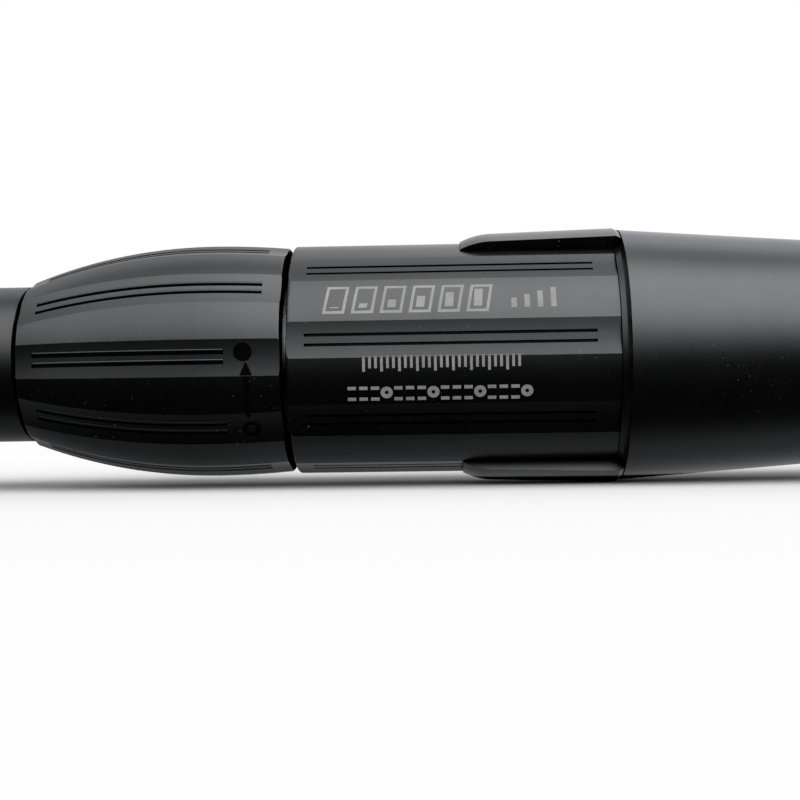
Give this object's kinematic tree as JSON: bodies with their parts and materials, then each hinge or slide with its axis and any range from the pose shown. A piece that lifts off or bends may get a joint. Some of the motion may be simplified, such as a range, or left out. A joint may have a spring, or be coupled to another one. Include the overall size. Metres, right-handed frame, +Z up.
{
  "type": "dental micromotor handpiece",
  "caption": "Straight dental micromotor handpiece with a conical nose, a fluted barrel-shaped twist-lock ring, a fluted grip shell and a tapered rear motor housing.",
  "frame": {"origin": "centre of the collet's mouth, on the handpiece's axis", "axes": "+X along the handpiece's axis from the tool end to the cord end, +Z up through the upper raised finger, -Y towards the etched side"},
  "size_m": [0.149, 0.027, 0.0274],
  "materials": {
    "nose_black": "satin black anodised, slightly worn",
    "ring_black": "satin black anodised",
    "casing_black": "satin black anodised with pale etched marks",
    "housing_black": "black moulded plastic, semi-matt",
    "bright_steel": "ground steel",
    "gland_rubber": "matt",
    "seal_rubber": "matt",
    "bearing_steel": "polished",
    "cage_brass": "pressed",
    "machined_steel": "machined",
    "spring_steel": "drawn wire",
    "flange_aluminium": "machined",
    "magnet_ferrite": "matt sintered",
    "winding_copper": "enamelled copper",
    "contact_brass": "bright",
    "plate_plastic": "moulded",
    "brush_carbon": "matt carbon"
  },
  "bodies": {
    "handpiece": {"nose_cone": "nose_black", "dust_cap": "bright_steel", "dust_seal": "seal_rubber", "outer_spacer": "machined_steel", "bearing_circlip": "machined_steel", "preload_washer": "machined_steel", "front_retainer": "machined_steel", "rear_retainer": "machined_steel", "guide_sleeve": "machined_steel", "ring_o_ring": "seal_rubber", "body_shell": "casing_black", "front_screws": "machined_steel", "motor_front_flange": "flange_aluminium", "motor_yoke": "machined_steel", "magnet_1": "magnet_ferrite", "magnet_2": "magnet_ferrite", "brush_plate": "plate_plastic", "brush_holders": "contact_brass", "brush_caps": "contact_brass", "brush_spring_1": "spring_steel", "brush_spring_2": "spring_steel", "terminals": "contact_brass", "rear_housing": "housing_black", "body_o_ring": "seal_rubber", "rear_cap": "housing_black", "cord_gland": "gland_rubber", "bearing_one_outer_race": "bearing_steel", "bearing_two_outer_race": "bearing_steel", "bearing_three_outer_race": "bearing_steel", "bearing_four_outer_race": "bearing_steel", "bearing_five_outer_race": "bearing_steel"},
    "twist_ring": {"chuck_ring": "ring_black", "cam_sleeve": "machined_steel", "ring_key": "machined_steel"},
    "shift_collar": {"shift_collar": "machined_steel", "cam_pins": "machined_steel"},
    "rotor": {"spindle": "machined_steel", "inner_spacer": "machined_steel", "collet_spring": "spring_steel", "spindle_dog": "machined_steel", "coupling_insert": "seal_rubber", "motor_dog": "machined_steel", "motor_shaft": "machined_steel", "armature_core": "machined_steel", "armature_windings": "winding_copper", "commutator": "winding_copper", "bearing_one_inner_race": "bearing_steel", "bearing_two_inner_race": "bearing_steel", "bearing_three_inner_race": "bearing_steel", "bearing_four_inner_race": "bearing_steel", "bearing_five_inner_race": "bearing_steel"},
    "collet": {"collet": "bright_steel", "drawbar": "machined_steel", "cross_pin": "machined_steel", "thrust_collar": "machined_steel"},
    "ball_sets": {"bearing_balls": "bearing_steel", "bearing_cages": "cage_brass"},
    "brush_1": {"carbon_brush_1": "brush_carbon"},
    "brush_2": {"carbon_brush_2": "brush_carbon"}
  },
  "joints": [
    {"name": "ring_twist", "type": "hinge", "parent": "handpiece", "child": "twist_ring", "pos_m": [0.047, 0, 0], "axis": [1, 0, 0], "range_deg": [0, 45]},
    {"name": "collar_shift", "type": "slide", "parent": "handpiece", "child": "shift_collar", "axis": [-1, 0, 0], "range_m": [0, 0.00176]},
    {"name": "rotor_spin", "type": "hinge", "parent": "handpiece", "child": "rotor", "pos_m": [0.06, 0, 0], "axis": [1, 0, 0], "continuous": true},
    {"name": "collet_open", "type": "slide", "parent": "rotor", "child": "collet", "axis": [-1, 0, 0], "range_m": [0, 0.00151], "deforming": ["collet_spring"]},
    {"name": "ball_spin", "type": "hinge", "parent": "handpiece", "child": "ball_sets", "pos_m": [0.06, 0, 0], "axis": [1, 0, 0], "continuous": true},
    {"name": "brush_1_lift", "type": "slide", "parent": "handpiece", "child": "brush_1", "axis": [0, 0, 1], "range_m": [0, 0.0008], "stiffness_N_per_m": 300, "springref_m": -0.002, "deforming": ["brush_spring_1"]},
    {"name": "brush_2_lift", "type": "slide", "parent": "handpiece", "child": "brush_2", "axis": [0, 0, -1], "range_m": [0, 0.0008], "stiffness_N_per_m": 300, "springref_m": -0.002, "deforming": ["brush_spring_2"]}
  ],
  "couplings": [
    {"joint": "collar_shift", "follows": "ring_twist", "m_per_rad": 0.0022282},
    {"joint": "collet_open", "follows": "ring_twist", "m_per_rad": 0.0019099},
    {"joint": "ball_spin", "follows": "rotor_spin", "ratio": 0.3947}
  ]
}
